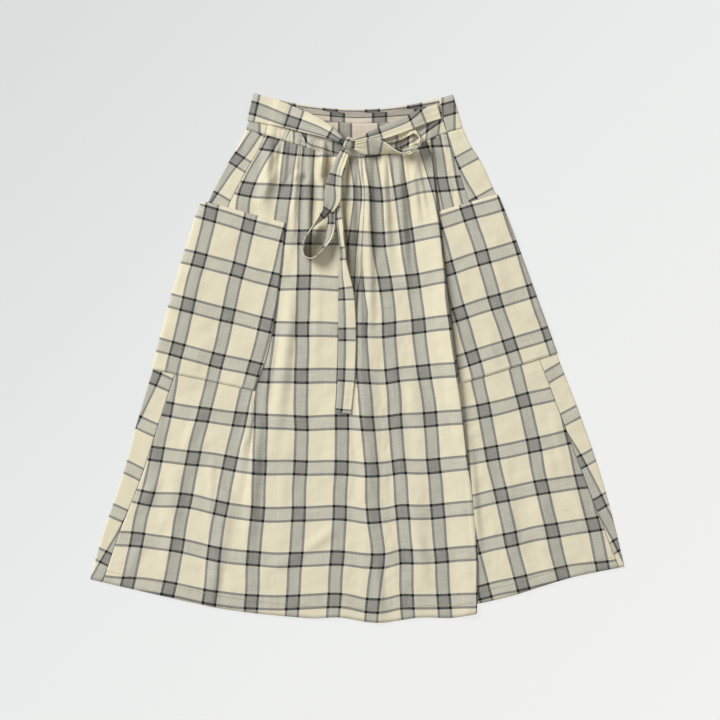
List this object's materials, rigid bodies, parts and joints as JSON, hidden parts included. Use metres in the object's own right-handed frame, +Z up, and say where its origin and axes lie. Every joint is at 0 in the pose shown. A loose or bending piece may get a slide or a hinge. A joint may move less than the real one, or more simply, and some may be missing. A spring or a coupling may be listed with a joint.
{
  "type": "prairie skirt",
  "caption": "Long A-line prairie skirt in woven check cotton, laid flat, with a gathered waist, patch pockets round the sides and a sash tied in a bow at the front.",
  "frame": {"origin": "middle of the underside of the skirt's box, on the surface that it lies on", "axes": "+X across the skirt to the picture's right, +Y along it from the hem to the waist, +Z up off the surface, the way the front faces"},
  "size_m": [0.919, 0.9096, 0.0368],
  "materials": {
    "back_panel": "matt woven cotton",
    "front_panel": "matt woven cotton",
    "pocket_left": "matt woven cotton",
    "pocket_right": "matt woven cotton",
    "waistband_back": "matt woven cotton",
    "waistband_front": "matt woven cotton",
    "tie_left": "matt woven cotton",
    "tie_right": "matt woven cotton",
    "bow_loop_right": "matt woven cotton",
    "bow_loop_left": "matt woven cotton",
    "bow_tail": "matt woven cotton",
    "bow_knot": "matt woven cotton"
  },
  "bodies": {
    "root": {"back_panel": "back_panel", "front_panel": "front_panel", "pocket_left": "pocket_left", "pocket_right": "pocket_right", "waistband_back": "waistband_back", "waistband_front": "waistband_front", "tie_left": "tie_left", "tie_right": "tie_right", "bow_loop_right": "bow_loop_right", "bow_loop_left": "bow_loop_left", "bow_tail": "bow_tail", "bow_knot": "bow_knot"}
  },
  "joints": []
}
